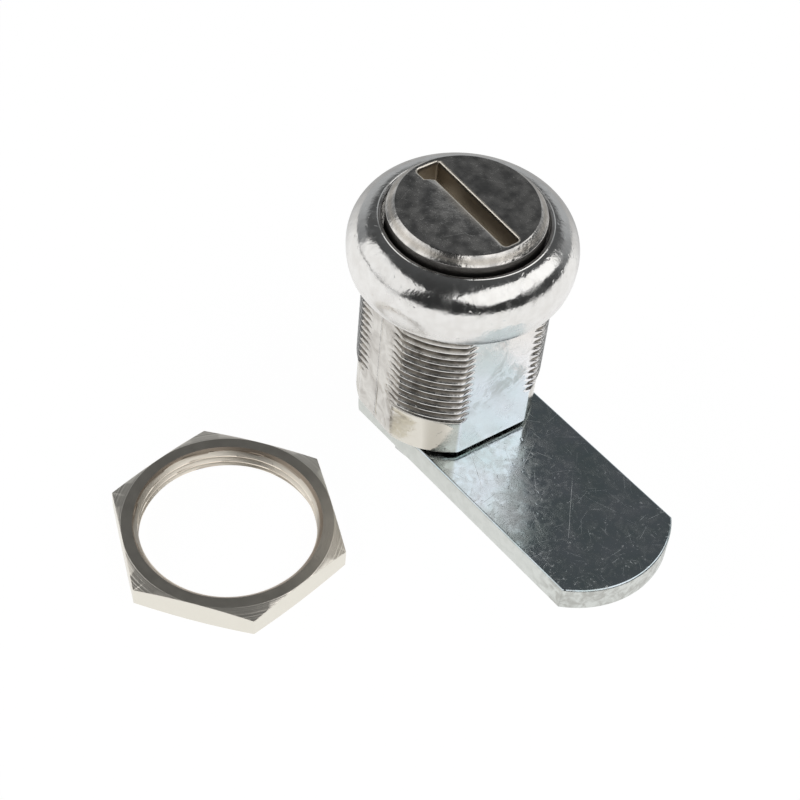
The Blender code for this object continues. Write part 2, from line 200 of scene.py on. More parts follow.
def minus(tree, first, second):
    return math_node(tree, "SUBTRACT", first, second)


def larger(tree, first, second):
    return math_node(tree, "MAXIMUM", first, second)


def map_range(tree, value, low, high, to_low=0.0, to_high=1.0):
    """Map a socket from one range to another, held at both ends."""
    node = add_node(tree, "ShaderNodeMapRange", {"Value": value, "From Min": low, "From Max": high,
                                                 "To Min": to_low, "To Max": to_high})
    return node.outputs["Result"]


def make_room():
    """World: white to the camera, and to the metal a dark room whose far wall is lighter low down."""
    world = bpy.data.worlds.new("room")
    bpy.context.scene.world = world
    tree = node_tree(world)
    where = add_node(tree, "ShaderNodeTexCoord")
    away = add_node(tree, "ShaderNodeVectorMath", {0: where.outputs["Generated"], 1: -TOWARDS_CAMERA},
                    operation="DOT_PRODUCT")
    parts = add_node(tree, "ShaderNodeSeparateXYZ", {0: where.outputs["Generated"]})
    wall = map_range(tree, away.outputs["Value"], -0.6, 0.8, ROOM_GREY, ROOM_FAR_GREY)
    low_down = map_range(tree, parts.outputs["Z"], GLOW_FADED, GLOW_FULL)
    behind = map_range(tree, away.outputs["Value"], 0.2, 0.8, 0.0, ROOM_LOW_GLOW)
    grey = plus(tree, wall, times(tree, low_down, behind))
    room = add_node(tree, "ShaderNodeBackground")
    tint = add_node(tree, "ShaderNodeCombineColor")
    for channel, share in enumerate(ROOM_TINT):
        tree.links.new(times(tree, grey, share), tint.inputs[channel])
    tree.links.new(tint.outputs[0], room.inputs["Color"])
    seen = add_node(tree, "ShaderNodeBackground", {"Color": (WHITE, WHITE, WHITE, 1.0)})
    ray = add_node(tree, "ShaderNodeLightPath")
    mix = add_node(tree, "ShaderNodeMixShader", {0: ray.outputs["Is Camera Ray"], 1: room.outputs[0],
                                                 2: seen.outputs[0]})
    add_node(tree, "ShaderNodeOutputWorld", {"Surface": mix.outputs[0]})


def make_table():
    """Pale table: white to the camera, white in the metal but for its far part, with a faint shadow."""
    bm = bmesh.new()
    bmesh.ops.create_grid(bm, x_segments=1, y_segments=1, size=TABLE_REACH)
    table = new_piece("table", bm)
    mat = bpy.data.materials.new("table_white")
    tree = node_tree(mat)
    glow = add_node(tree, "ShaderNodeEmission", {"Color": (WHITE, WHITE, WHITE, 1.0)})
    where = add_node(tree, "ShaderNodeTexCoord").outputs["Object"]
    way = add_node(tree, "ShaderNodeVectorMath", {0: where}, operation="NORMALIZE")
    away = add_node(tree, "ShaderNodeVectorMath", {0: way.outputs[0], 1: -TOWARDS_CAMERA},
                    operation="DOT_PRODUCT")
    far_off = add_node(tree, "ShaderNodeVectorMath", {0: where}, operation="LENGTH")
    behind = times(tree, map_range(tree, away.outputs["Value"], 0.5, 0.9),
                   map_range(tree, far_off.outputs["Value"], TABLE_NEAR_END, TABLE_FAR_START))
    paper = add_node(tree, "ShaderNodeBsdfDiffuse", {"Color": (TABLE_GREY, TABLE_GREY, TABLE_GREY, 1.0)})
    ray = add_node(tree, "ShaderNodeLightPath")
    looked_at = larger(tree, ray.outputs["Is Camera Ray"], ray.outputs["Is Glossy Ray"])
    looked_at = larger(tree, looked_at, ray.outputs["Is Transmission Ray"])
    shaded = times(tree, behind, ray.outputs["Is Glossy Ray"])
    strength = map_range(tree, shaded, 0.0, 1.0, TABLE_GLOW, TABLE_FAR_SHADE)
    tree.links.new(strength, glow.inputs["Strength"])
    share = times(tree, looked_at, TABLE_GLOW_SHARE)
    mix = add_node(tree, "ShaderNodeMixShader", {0: share, 1: paper.outputs[0], 2: glow.outputs[0]})
    add_node(tree, "ShaderNodeOutputMaterial", {"Surface": mix.outputs[0]})
    table.data.materials.append(mat)


def make_soft_box(name, azimuth, elevation, distance, width, height, brightness):
    """An area lamp that a mirror shows at about that brightness, aimed at the lock."""
    data = bpy.data.lights.new(name, "AREA")
    data.shape = "RECTANGLE"
    data.size = width
    data.size_y = height
    data.energy = brightness * math.pi * width * height
    lamp = bpy.data.objects.new(name, data)
    bpy.context.scene.collection.objects.link(lamp)
    outwards = direction(azimuth, elevation)
    lamp.location = LOOK_AT + outwards * distance
    lamp.rotation_mode = "QUATERNION"
    lamp.rotation_quaternion = outwards.to_track_quat("Z", "Y")


make_room()
make_table()
make_soft_box("left_box", -80.0, 30.0, 0.60, 0.72, 0.58, 0.95)
make_soft_box("right_box", 66.0, 52.0, 0.60, 1.15, 0.46, 1.15)
scene = bpy.context.scene
scene.view_settings.view_transform = "Standard"
print("studio ready: a table, a room and two soft boxes")

# %% [markdown]
# Most of this lock is turned or cast round an axis, so one helper makes such a surface as rows of points
# round Z. Each row may have its own radius at each angle, which is how flats and a thread get into the same
# skin as the plain round parts. It keeps one closed surface with no cutting, and the grid stays even.

# %% Helpers for round pieces
def ring_surface(name, radii, heights, closed, spiral=None):
    """Rows of radii and heights round Z. Rows run down the outer side; closed joins last to first.

    spiral = (first, last, shift): between these rows the grid climbs, so the last column of a row meets the
    first column of the row that lies shift rows further down.
    """
    rows, columns = radii.shape
    turn = np.linspace(0.0, 2.0 * math.pi, columns, endpoint=False)
    points = np.empty((rows, columns, 3))
    points[..., 0] = radii * np.cos(turn)
    points[..., 1] = radii * np.sin(turn)
    points[..., 2] = heights
    index = np.arange(rows * columns).reshape(rows, columns)
    below = np.roll(index, -1, axis=0)
    beside = np.roll(index, -1, axis=1)
    if spiral:
        first, last, shift = spiral
        further = np.minimum(np.arange(first, last + 1) + shift, last)
        beside[first:last + 1, -1] = index[further, 0]
    below_beside = np.roll(beside, -1, axis=0)
    faces = np.stack([index, below, below_beside, beside], axis=-1)
    if spiral:
        faces[last, -1, 3] = index[last, 0]
        faces[first - 1, -1, 2] = index[first, 0]
    if not closed:
        faces = faces[:-1]
    grid = bpy.data.meshes.new("grid")
    grid.from_pydata(points.reshape(-1, 3).tolist(), [], faces.reshape(-1, 4).tolist())
    bm = bmesh.new()
    bm.from_mesh(grid)
    bpy.data.meshes.remove(grid)
    bmesh.ops.remove_doubles(bm, verts=bm.verts, dist=0.0001 * MM)
    return new_piece(name, bm)


def arc(centre, size, start, end, count):
    """Points on an ellipse in the section, angles in degrees from the outward direction."""
    angles = np.radians(np.linspace(start, end, count + 1))
    return [(centre[0] + size[0] * math.cos(a), centre[1] + size[1] * math.sin(a)) for a in angles]


def soften(corners, steps=4):
    """Round the corners of a section: each is (radius, height, rounding)."""
    points = []
    count = len(corners)
    for i, (r, z, rounding) in enumerate(corners):
        here = Vector((r, z))
        if rounding <= 0.0 or i in (0, count - 1):
            points.append((r, z))
            continue
        before = (Vector(corners[i - 1][:2]) - here).normalized()
        after = (Vector(corners[i + 1][:2]) - here).normalized()
        half = math.acos(max(-1.0, min(1.0, before.dot(after)))) / 2
        back = rounding / math.tan(half)
        middle = here + (before + after).normalized() * rounding / math.sin(half)
        start, end = here + before * back - middle, here + after * back - middle
        for k in range(steps + 1):
            blend = start.lerp(end, k / steps).normalized() * rounding
            points.append(tuple(middle + blend))
    return points


def plain_rows(section, columns):
    """Rows that are round, one for each (radius, height) of a section."""
    radii = np.array([[r] * columns for r, _ in section])
    heights = np.array([[z] * columns for _, z in section])
    return radii, heights


def turned(name, section, columns):
    """A plain turned piece from a list of (radius, height)."""
    return ring_surface(name, *plain_rows(section, columns), closed=False)


def shade(piece, angle):
    """Smooth shading that keeps wide faces flat and turns fine edges into soft highlights."""
    piece.data.shade_smooth()
    piece.data.set_sharp_from_angle(angle=math.radians(angle))
    keep_flat = piece.modifiers.new("even_shading", "WEIGHTED_NORMAL")
    keep_flat.keep_sharp = True
    keep_flat.weight = 60


def triangles(piece):
    graph = bpy.context.evaluated_depsgraph_get()
    mesh = piece.evaluated_get(graph).to_mesh()
    mesh.calc_loop_triangles()
    return len(mesh.loop_triangles)


# %% [markdown]
# The body is one zinc casting: a stem with a fine M22 x 1 thread, two wide flats that key it in the panel,
# two narrow flats where the mould parted, and the round collar. The thread is a real helix here. A smooth
# minimum between the thread and the flats runs the ridges out the way a cast thread does.

# %% Body: sizes
THREAD_RADIUS = 11.0 * MM
THREAD_PITCH = 1.0 * MM
THREAD_DEPTH = 0.60 * MM
THREAD_CREST = 0.10            # flat share of the pitch at the crest
THREAD_ROOT = 0.16             # and at the root
THREAD_ROUND = 0.05            # share of the pitch over which an edge is rounded
TAIL_LENGTH = 5.3 * MM
TAIL_RADIUS = 10.75 * MM
TAIL_EDGE = 0.35 * MM
FLAT_ACROSS = 19.2 * MM
RELIEF_ACROSS = 20.5 * MM
BODY_TURN = math.radians(-5.2)
RUN_OUT = 0.04 * MM            # softness where ridges meet a flat
COLLAR_RADIUS = 13.1 * MM
COLLAR_BELLY = 3.3 * MM
SEAT_RADIUS = 12.1 * MM
HEAD_RADIUS = 9.0 * MM
HEAD_PLAY = 0.35 * MM
RECESS_RADIUS = HEAD_RADIUS + HEAD_PLAY
RECESS_DEPTH = 4.2 * MM
RIM_ROUND = 0.25 * MM
RECESS_FLOOR = COLLAR_TOP - RECESS_DEPTH
BORE_RADIUS = 6.5 * MM
STOP_RECESS_RADIUS = 7.5 * MM
STOP_RECESS_DEPTH = 2.8 * MM
STOP_RECESS_TOP = CAM_TOP + STOP_RECESS_DEPTH
THREAD_BOTTOM = STEM_BOTTOM + TAIL_LENGTH
BODY_COLUMNS = 300


# %% Body: the helix, the flats and the collar
def thread_form(phase):
    """Height of a 60 degree thread form, 0 at the root and 1 at the crest, for a phase in turns."""
    away = np.abs(phase - np.floor(phase) - 0.5) * 2.0
    flank = 1.0 - THREAD_CREST - THREAD_ROOT
    return np.clip((1.0 - THREAD_ROOT - away) / flank, 0.0, 1.0)


def thread_phases():
    """Where the rows of one pitch lie: at every edge of the form, and beside it to round it."""
    crest, root = THREAD_CREST / 2, THREAD_ROOT / 2
    upper = [root, root + THREAD_ROUND, 0.5 - crest - THREAD_ROUND, 0.5 - crest, 0.5]
    return [0.0] + upper + [1.0 - phase for phase in upper[-2::-1]]


def soft_minimum(first, second, softness):
    blend = np.clip(0.5 + (second - first) / (2.0 * softness), 0.0, 1.0)
    return second + (first - second) * blend - softness * blend * (1.0 - blend)


def flat_radius(turn, across, middle):
    """Radius of a pair of flats at each angle, very large where the flat isn't met."""
    facing = np.abs(np.cos(turn - middle))
    return across / 2 / np.maximum(facing, 0.2)


def thread_rows(turn):
    """Heights of the threaded rows. They climb with the helix and stop at the seat and the tail."""
    pitches = int(round((SEAT_HEIGHT - THREAD_BOTTOM) / THREAD_PITCH)) + 1
    start = (math.floor(SEAT_HEIGHT / THREAD_PITCH) + 2) * THREAD_PITCH
    downs = [(n + phase) * THREAD_PITCH for n in range(pitches + 2) for phase in thread_phases()]
    rows = start - np.array(downs)[:, None] + THREAD_PITCH * turn / (2.0 * math.pi)
    return np.clip(rows, THREAD_BOTTOM, SEAT_HEIGHT)


def stem_rows():
    """Radii and heights of the stem, from under the collar down to its bottom edge."""
    turn = np.linspace(0.0, 2.0 * math.pi, BODY_COLUMNS, endpoint=False)
    threaded = thread_rows(turn)
    tail = list(np.linspace(THREAD_BOTTOM, STEM_BOTTOM + TAIL_EDGE, 8)[1:])
    edge = arc((0.0, STEM_BOTTOM + TAIL_EDGE), (TAIL_EDGE, TAIL_EDGE), 0.0, -90.0, 4)[1:]
    insets = [0.0] * (len(threaded) + len(tail)) + [TAIL_EDGE - r for r, _ in edge]
    plain = np.array(tail + [z for _, z in edge])
    grid_z = np.concatenate([threaded, np.repeat(plain[:, None], BODY_COLUMNS, axis=1)])
    grid_turn = np.broadcast_to(turn, grid_z.shape)
    phase = grid_z / THREAD_PITCH - grid_turn / (2.0 * math.pi)
    below_crest = THREAD_DEPTH * (1.0 - thread_form(phase))
    fade_low = np.clip((grid_z - THREAD_BOTTOM) / (0.8 * THREAD_PITCH), 0.0, 1.0)
    fade_high = np.clip((SEAT_HEIGHT - grid_z) / (0.5 * THREAD_PITCH), 0.0, 1.0)
    crest = TAIL_RADIUS + (THREAD_RADIUS - TAIL_RADIUS) * fade_low
    radii = crest - below_crest * fade_low * fade_high
    for across, middle in ((FLAT_ACROSS, BODY_TURN), (RELIEF_ACROSS, BODY_TURN + math.pi / 2)):
        radii = soft_minimum(radii, flat_radius(grid_turn, across, middle), RUN_OUT)
    return radii - np.array(insets)[:, None], grid_z, len(threaded)


def collar_section():
    """From the lip of the recess over the crown and down to the seat."""
    belly = SEAT_HEIGHT + COLLAR_BELLY
    inner = RECESS_RADIUS + RIM_ROUND
    lip = arc((inner, COLLAR_TOP - RIM_ROUND), (RIM_ROUND, RIM_ROUND), 180.0, 90.0, 4)
    crown = arc((inner, belly), (COLLAR_RADIUS - inner, COLLAR_TOP - belly), 90.0, 0.0, 34)
    under = arc((SEAT_RADIUS, belly), (COLLAR_RADIUS - SEAT_RADIUS, COLLAR_BELLY), 0.0, -90.0, 20)
    return lip[:-1] + crown + under[1:]


def make_lock_body():
    stem = stem_rows()
    collar = plain_rows(collar_section(), BODY_COLUMNS)
    inside = plain_rows([(STOP_RECESS_RADIUS, STEM_BOTTOM), (STOP_RECESS_RADIUS, STOP_RECESS_TOP),
                         (BORE_RADIUS, STOP_RECESS_TOP), (BORE_RADIUS, RECESS_FLOOR),
                         (RECESS_RADIUS, RECESS_FLOOR)], BODY_COLUMNS)
    radii = np.concatenate([collar[0], stem[0], inside[0]])
    heights = np.concatenate([collar[1], stem[1], inside[1]])
    first = len(collar[0])
    spiral = (first, first + stem[2] - 1, len(thread_phases()))
    piece = ring_surface("lock_body", radii, heights, closed=True, spiral=spiral)
    shade(piece, 50.0)
    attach(piece, "housing")
    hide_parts("body")
    return piece


lock_body = make_lock_body()
print("lock_body:", triangles(lock_body), "triangles")

# %% [markdown]
# The plug is turned with a chamfered head, then a coin slot is cut in it with a step at one end. The tool
# for the slot widens towards the face and leaves a rolled lip, because that bright lip is what the eye sees.

# %% Plug
HEAD_CHAMFER = 0.95 * MM
HEAD_GAP = 0.3 * MM
HEAD_BOTTOM = RECESS_FLOOR + HEAD_GAP
BARREL_RADIUS = 6.2 * MM
SHANK_ACROSS = 8.0 * MM
SLOT_LENGTH = 14.9 * MM
SLOT_WIDTH = 2.05 * MM
SLOT_DEPTH = 2.6 * MM
SLOT_TURN = math.radians(-3.8)
SLOT_OFFSET = 0.4 * MM
NOTCH_LENGTH = 2.0 * MM
NOTCH_WIDTH = 1.05 * MM
SLOT_LIP = 0.30 * MM           # worn edge round the slot


def prism(name, outline, bottom, top):
    """Extrude an outline, a list of (x, y), between two heights."""
    bm = bmesh.new()
    low = [bm.verts.new((x, y, bottom)) for x, y in outline]
    floor = bm.faces.new(low)
    grown = bmesh.ops.extrude_face_region(bm, geom=[floor])
    lifted = [item for item in grown["geom"] if isinstance(item, bmesh.types.BMVert)]
    bmesh.ops.translate(bm, verts=lifted, vec=(0.0, 0.0, top - bottom))
    bmesh.ops.recalc_face_normals(bm, faces=bm.faces)
    return new_piece(name, bm)


def square_outline(across):
    half = across / 2
    return [(-half, -half), (half, -half), (half, half), (-half, half)]


def grown_outline(outline, by):
    """The outline moved outwards by a distance, with its corners kept."""
    grown = []
    count = len(outline)
    for i in range(count):
        before, here, after = Vector(outline[i - 1]), Vector(outline[i]), Vector(outline[(i + 1) % count])
        first = (here - before).normalized()
        second = (after - here).normalized()
        outward = Vector((first.y + second.y, -first.x - second.x)).normalized()
        lean = outward.dot(Vector((first.y, -first.x)))
        grown.append(tuple(here + outward * by / max(lean, 0.4)))
    return grown


def loft(name, outline, levels):
    """A closed tool through copies of an outline; each level is (height, how far it is grown)."""
    bm = bmesh.new()
    rings = []
    for height, by in levels:
        rings.append([bm.verts.new((x, y, height)) for x, y in grown_outline(outline, by)])
    for low, high in zip(rings, rings[1:]):
        for i in range(len(outline)):
            j = (i + 1) % len(outline)
            bm.faces.new((low[i], low[j], high[j], high[i]))
    bm.faces.new(rings[0])
    bm.faces.new(rings[-1])
    bmesh.ops.recalc_face_normals(bm, faces=bm.faces)
    return new_piece(name, bm)


def cut(piece, tool, operation="DIFFERENCE"):
    """Cut or join with a tool at once, and take the tool away."""
    boolean = piece.modifiers.new("cut", "BOOLEAN")
    boolean.operation = operation
    boolean.solver = "EXACT"
    boolean.object = tool
    graph = bpy.context.evaluated_depsgraph_get()
    mesh = bpy.data.meshes.new_from_object(piece.evaluated_get(graph))
    piece.modifiers.remove(boolean)
    piece.data = mesh
    bpy.data.objects.remove(tool)


def bevel(piece, width, segments, angle):
    """Bevel the sharp edges at once."""
    edge = piece.modifiers.new("edge", "BEVEL")
    edge.width = width
    edge.segments = segments
    edge.limit_method = "ANGLE"
    edge.angle_limit = math.radians(angle)
    edge.use_clamp_overlap = True
    graph = bpy.context.evaluated_depsgraph_get()
    mesh = bpy.data.meshes.new_from_object(piece.evaluated_get(graph))
    piece.modifiers.remove(edge)
    piece.data = mesh


def slot_outline():
    """The coin slot from above, anticlockwise, with its rounded far end and the step near the blind end."""
    half, width = SLOT_LENGTH / 2, SLOT_WIDTH / 2
    far_round = 0.45 * MM
    outline = [(-half + 0.25 * MM, width), (-half, width - 0.25 * MM)]
    outline += [(-half, -width - NOTCH_WIDTH + 0.5 * MM)]
    nub = (-half + 0.55 * MM, -width - NOTCH_WIDTH + 0.5 * MM)
    outline += arc(nub, (0.55 * MM, 0.5 * MM), 200.0, 270.0, 4)
    outline += [(-half + NOTCH_LENGTH - 0.4 * MM, -width - NOTCH_WIDTH + 0.05 * MM),
                (-half + NOTCH_LENGTH - 0.1 * MM, -width - NOTCH_WIDTH * 0.45),
                (-half + NOTCH_LENGTH + 0.35 * MM, -width)]
    outline += arc((half - far_round, -width + far_round), (far_round, far_round), -90.0, 0.0, 4)
    outline += arc((half - far_round, width - far_round), (far_round, far_round), 0.0, 90.0, 4)
    turn = Matrix.Rotation(SLOT_TURN, 2)
    placed = [turn @ Vector(point) for point in outline]
    return [(point.x, point.y + SLOT_OFFSET) for point in placed]


def make_plug():
    face_round, foot_round = 0.10 * MM, 0.12 * MM
    section = soften([
        (0.0, FACE_HEIGHT, 0.0), (HEAD_RADIUS - HEAD_CHAMFER, FACE_HEIGHT, face_round),
        (HEAD_RADIUS, FACE_HEIGHT - HEAD_CHAMFER, foot_round), (HEAD_RADIUS, HEAD_BOTTOM, 0.0),
        (BARREL_RADIUS, HEAD_BOTTOM, 0.0), (BARREL_RADIUS, STOP_RECESS_TOP, 0.0),
        (0.0, STOP_RECESS_TOP, 0.0)])
    piece = turned("turning_plug", section, 160)
    shank = prism("square_tool", square_outline(SHANK_ACROSS), SHANK_BOTTOM, STOP_RECESS_TOP + MM)
    cut(piece, shank, "UNION")
    lip = [(FACE_HEIGHT - SLOT_DEPTH, 0.0), (FACE_HEIGHT - SLOT_LIP, 0.0),
           (FACE_HEIGHT - 0.45 * SLOT_LIP, 0.2 * SLOT_LIP), (FACE_HEIGHT - 0.17 * SLOT_LIP, 0.4 * SLOT_LIP),
           (FACE_HEIGHT, SLOT_LIP), (FACE_HEIGHT + 0.2 * MM, SLOT_LIP + 0.8 * MM)]
    cut(piece, loft("slot_tool", slot_outline(), lip))
    shade(piece, 50.0)
    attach(piece, "turning")
    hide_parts("plug")
    return piece


turning_plug = make_plug()
print("turning_plug:", triangles(turning_plug), "triangles")

# %% [markdown]
# The cam is a flat piece punched from sheet. Its top edge is rolled over by the punch and its lower edge is
# nearly as round after plating, so one narrow bevel does for both. The scratches come with the finish.

# %% Cam
CAM_WIDTH = 17.4 * MM
CAM_HEEL_RADIUS = 10.3 * MM
CAM_SIDE_LENGTH = 30.7 * MM
CAM_REACH = 34.5 * MM
CAM_EDGE = 0.28 * MM
SQUARE_HOLE = 8.6 * MM


def cam_outline():
    half = CAM_WIDTH / 2
    rise = CAM_REACH - CAM_SIDE_LENGTH
    crown = (half ** 2 + rise ** 2) / (2 * rise)
    tip = math.degrees(math.asin(half / crown))
    heel = math.degrees(math.asin(half / CAM_HEEL_RADIUS))
    front = arc((CAM_REACH - crown, 0.0), (crown, crown), -tip, tip, 40)
    rear = arc((0.0, 0.0), (CAM_HEEL_RADIUS, CAM_HEEL_RADIUS), 180.0 - heel, 180.0 + heel, 40)
    return front + rear


def make_cam():
    piece = prism("cam_plate", cam_outline(), CAM_BOTTOM, CAM_TOP)
    cut(piece, prism("hole_tool", square_outline(SQUARE_HOLE), CAM_BOTTOM - MM, CAM_TOP + MM))
    bevel(piece, CAM_EDGE, 4, 50.0)
    shade(piece, 50.0)
    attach(piece, "turning")
    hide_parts("cam")
    return piece


cam_plate = make_cam()
print("cam_plate:", triangles(cam_plate), "triangles")

# %% [markdown]
# The nut is a thin hexagon cut from bar. Its corners are chamfered by a shallow cone, which leaves curved
# lines on the flats, and the bore has the same M22 x 1 thread as the stem. A threaded core is made first and
# taken out of the hexagon, as a tap would do it.

# %% Panel nut
NUT_ACROSS = 25.0 * MM
NUT_CHAMFER = 0.45 * MM
NUT_FACE_RADIUS = 12.4 * MM
NUT_BORE_RADIUS = 10.5 * MM
NUT_COUNTERSINK = 0.65 * MM
NUT_EDGE = 0.10 * MM
NUT_THREAD_DEPTH = 0.9 * THREAD_DEPTH
NUT_COLUMNS = 240
NUT_TURN = math.radians(36.2)


def threaded_core():
    """What the tap removes: a helix that opens into a countersink at both ends."""
    over = 0.6 * MM
    heights = np.linspace(NUT_HEIGHT + over, -over, 53)
    turn = np.linspace(0.0, 2.0 * math.pi, NUT_COLUMNS, endpoint=False)
    grid_z, grid_turn = np.meshgrid(heights, turn, indexing="ij")
    phase = grid_z / THREAD_PITCH - grid_turn / (2.0 * math.pi)
    radii = NUT_BORE_RADIUS + NUT_THREAD_DEPTH * thread_form(phase)
    mouth = NUT_BORE_RADIUS + NUT_COUNTERSINK
    top_cone = mouth - (NUT_HEIGHT - grid_z)
    low_cone = mouth - grid_z
    radii = np.maximum(radii, np.maximum(top_cone, low_cone))
    centre = np.zeros((1, NUT_COLUMNS))
    radii = np.concatenate([centre, radii, centre])
    grid_z = np.concatenate([grid_z[:1], grid_z, grid_z[-1:]])
    return ring_surface("core_tool", radii, grid_z, closed=False)


def make_nut():
    corner = NUT_ACROSS / 2 / math.cos(math.pi / 6)
    over = 1.0 * MM
    outline = [(corner * math.cos(NUT_TURN + math.radians(60 * i)),
                corner * math.sin(NUT_TURN + math.radians(60 * i))) for i in range(6)]
    piece = prism("hex_nut", outline, -over, NUT_HEIGHT + over)
    slope = NUT_CHAMFER / (corner - NUT_FACE_RADIUS)
    reach = corner + over
    fall = slope * (reach - NUT_FACE_RADIUS)
    blank = [(0.0, NUT_HEIGHT), (NUT_FACE_RADIUS, NUT_HEIGHT), (reach, NUT_HEIGHT - fall),
             (reach, fall), (NUT_FACE_RADIUS, 0.0), (0.0, 0.0)]
    cut(piece, turned("blank_tool", blank, 180), "INTERSECT")
    bevel(piece, NUT_EDGE, 2, 25.0)
    cut(piece, threaded_core())
    shade(piece, 25.0)
    for edge in piece.data.edges:
        ends = [piece.data.vertices[index].co.to_2d().length for index in edge.vertices]
        if max(abs(end - NUT_FACE_RADIUS) for end in ends) < 0.02 * MM:
            edge.use_edge_sharp = True
    piece.data.transform(Matrix.Translation((NUT_CENTRE[0], NUT_CENTRE[1], NUT_LOW[2])))
    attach(piece, "housing")
    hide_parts("panel_nut")
    return piece


hex_nut = make_nut()
print("hex_nut:", triangles(hex_nut), "triangles")

# %% [markdown]
# Cast and plated metal is never a perfect mirror. Three shared groups serve the finishes. The first gives a
# slow waviness, a fine grain and scattered pits, and every finish below uses it with its own values. The
# second says where a point lies on its piece, and the third draws the scratches.

# %% Shared surface group
WAVES = 260.0                  # features per metre of each noise of the plated surface
PEEL = 1100.0
GRAIN = 4200.0
PITS = 1500.0
CLOUDS = 700.0
BUMP_DEPTH = 0.030 * MM


def noise(tree, scale, detail, vector, distortion=0.0):
    """Cloudy noise; scale is in features per metre when the vector is in metres."""
    node = add_node(tree, "ShaderNodeTexNoise", {"Scale": scale, "Detail": detail,
                                                 "Distortion": distortion, "Vector": vector})
    return node.outputs["Fac"]


def new_group(name, inputs, outputs):
    """An empty node group whose inputs and outputs are all plain values."""
    group = bpy.data.node_groups.new(name, "ShaderNodeTree")
    for direction_in, names in (("INPUT", inputs), ("OUTPUT", outputs)):
        for item in names:
            group.interface.new_socket(item, in_out=direction_in, socket_type="NodeSocketFloat")
    return group, add_node(group, "NodeGroupInput"), add_node(group, "NodeGroupOutput")


def plated_surface_group():
    """Slow waves, orange peel, fine grain and pits, as one height, with a cloudy mask."""
    group, inputs, outputs = new_group("plated surface", ["Waviness", "Peel", "Grain", "Pits"],
                                       ["Height", "Mottle", "Pit mask"])
    where = add_node(group, "ShaderNodeTexCoord").outputs["Object"]
    wave = times(group, noise(group, WAVES, 1.0, where), inputs.outputs["Waviness"])
    peel = times(group, noise(group, PEEL, 2.0, where), inputs.outputs["Peel"])
    grain = times(group, noise(group, GRAIN, 3.0, where), inputs.outputs["Grain"])
    pits = map_range(group, noise(group, PITS, 0.0, where), 0.74, 0.80)
    sunk = times(group, pits, inputs.outputs["Pits"])
    height = plus(group, plus(group, wave, peel), grain)
    group.links.new(minus(group, height, sunk), outputs.inputs["Height"])
    group.links.new(noise(group, CLOUDS, 4.0, where), outputs.inputs["Mottle"])
    group.links.new(pits, outputs.inputs["Pit mask"])
    return group


# %% Shared group: where a point lies on its piece
def place_group():
    """Radius from an upright axis, height, the two level coordinates and how level the face is."""
    group, inputs, outputs = new_group("place on piece", ["Axis X", "Axis Y", "Turn"],
                                       ["Radius", "Height", "Along", "Across", "Level"])
    where = add_node(group, "ShaderNodeTexCoord")
    axis = add_node(group, "ShaderNodeCombineXYZ", {"X": inputs.outputs["Axis X"],
                                                    "Y": inputs.outputs["Axis Y"]})
    from_axis = add_node(group, "ShaderNodeVectorMath", {0: where.outputs["Object"], 1: axis.outputs[0]},
                         operation="SUBTRACT")
    turned_back = add_node(group, "ShaderNodeVectorRotate", {"Vector": from_axis.outputs[0],
                                                             "Angle": inputs.outputs["Turn"]},
                           rotation_type="Z_AXIS", invert=True)
    apart = add_node(group, "ShaderNodeSeparateXYZ", {0: turned_back.outputs[0]})
    square_x = times(group, apart.outputs["X"], apart.outputs["X"])
    square_y = times(group, apart.outputs["Y"], apart.outputs["Y"])
    facing = add_node(group, "ShaderNodeSeparateXYZ", {0: where.outputs["Normal"]})
    group.links.new(math_node(group, "SQRT", plus(group, square_x, square_y)),
                    outputs.inputs["Radius"])
    group.links.new(apart.outputs["Z"], outputs.inputs["Height"])
    group.links.new(math_node(group, "ABSOLUTE", apart.outputs["X"]), outputs.inputs["Along"])
    group.links.new(math_node(group, "ABSOLUTE", apart.outputs["Y"]), outputs.inputs["Across"])
    group.links.new(math_node(group, "ABSOLUTE", facing.outputs["Z"]), outputs.inputs["Level"])
    return group


# %% Shared group: scratches
def scratch_group():
    """One scratch in each cell of a loose net, each at an angle of its own."""
    group, inputs, outputs = new_group("scratches", ["Cells", "Width", "Offset"], ["Mask", "Chance"])
    where = add_node(group, "ShaderNodeTexCoord").outputs["Object"]
    moved = add_node(group, "ShaderNodeVectorMath", {0: where, 1: inputs.outputs["Offset"]},
                     operation="ADD")
    bend = add_node(group, "ShaderNodeTexNoise", {"Vector": moved.outputs[0], "Scale": 220.0,
                                                  "Detail": 1.0})
    push = add_node(group, "ShaderNodeVectorMath", {0: bend.outputs["Color"], "Scale": 0.12 * MM},
                    operation="SCALE")
    bent = add_node(group, "ShaderNodeVectorMath", {0: moved.outputs[0], 1: push.outputs[0]},
                    operation="ADD")
    cells = add_node(group, "ShaderNodeTexVoronoi", {"Vector": bent.outputs[0],
                                                     "Scale": inputs.outputs["Cells"]},
                     voronoi_dimensions="2D")
    local = add_node(group, "ShaderNodeVectorMath", {0: bent.outputs[0], 1: cells.outputs["Position"]},
                     operation="SUBTRACT")
    random = add_node(group, "ShaderNodeSeparateColor", {0: cells.outputs["Color"]})
    angle = times(group, random.outputs[0], 2.0 * math.pi)
    spun = add_node(group, "ShaderNodeVectorRotate", {"Vector": local.outputs[0], "Angle": angle},
                    rotation_type="Z_AXIS")
    apart = add_node(group, "ShaderNodeSeparateXYZ", {0: spun.outputs[0]})
    beside = math_node(group, "DIVIDE", math_node(group, "ABSOLUTE", apart.outputs["Y"]),
                       inputs.outputs["Width"])
    along = times(group, math_node(group, "ABSOLUTE", apart.outputs["X"]),
                  inputs.outputs["Cells"])
    line = times(group, map_range(group, beside, 1.0, 0.3),
                 map_range(group, along, 0.55, 0.25))
    group.links.new(line, outputs.inputs["Mask"])
    group.links.new(random.outputs[1], outputs.inputs["Chance"])
    return group


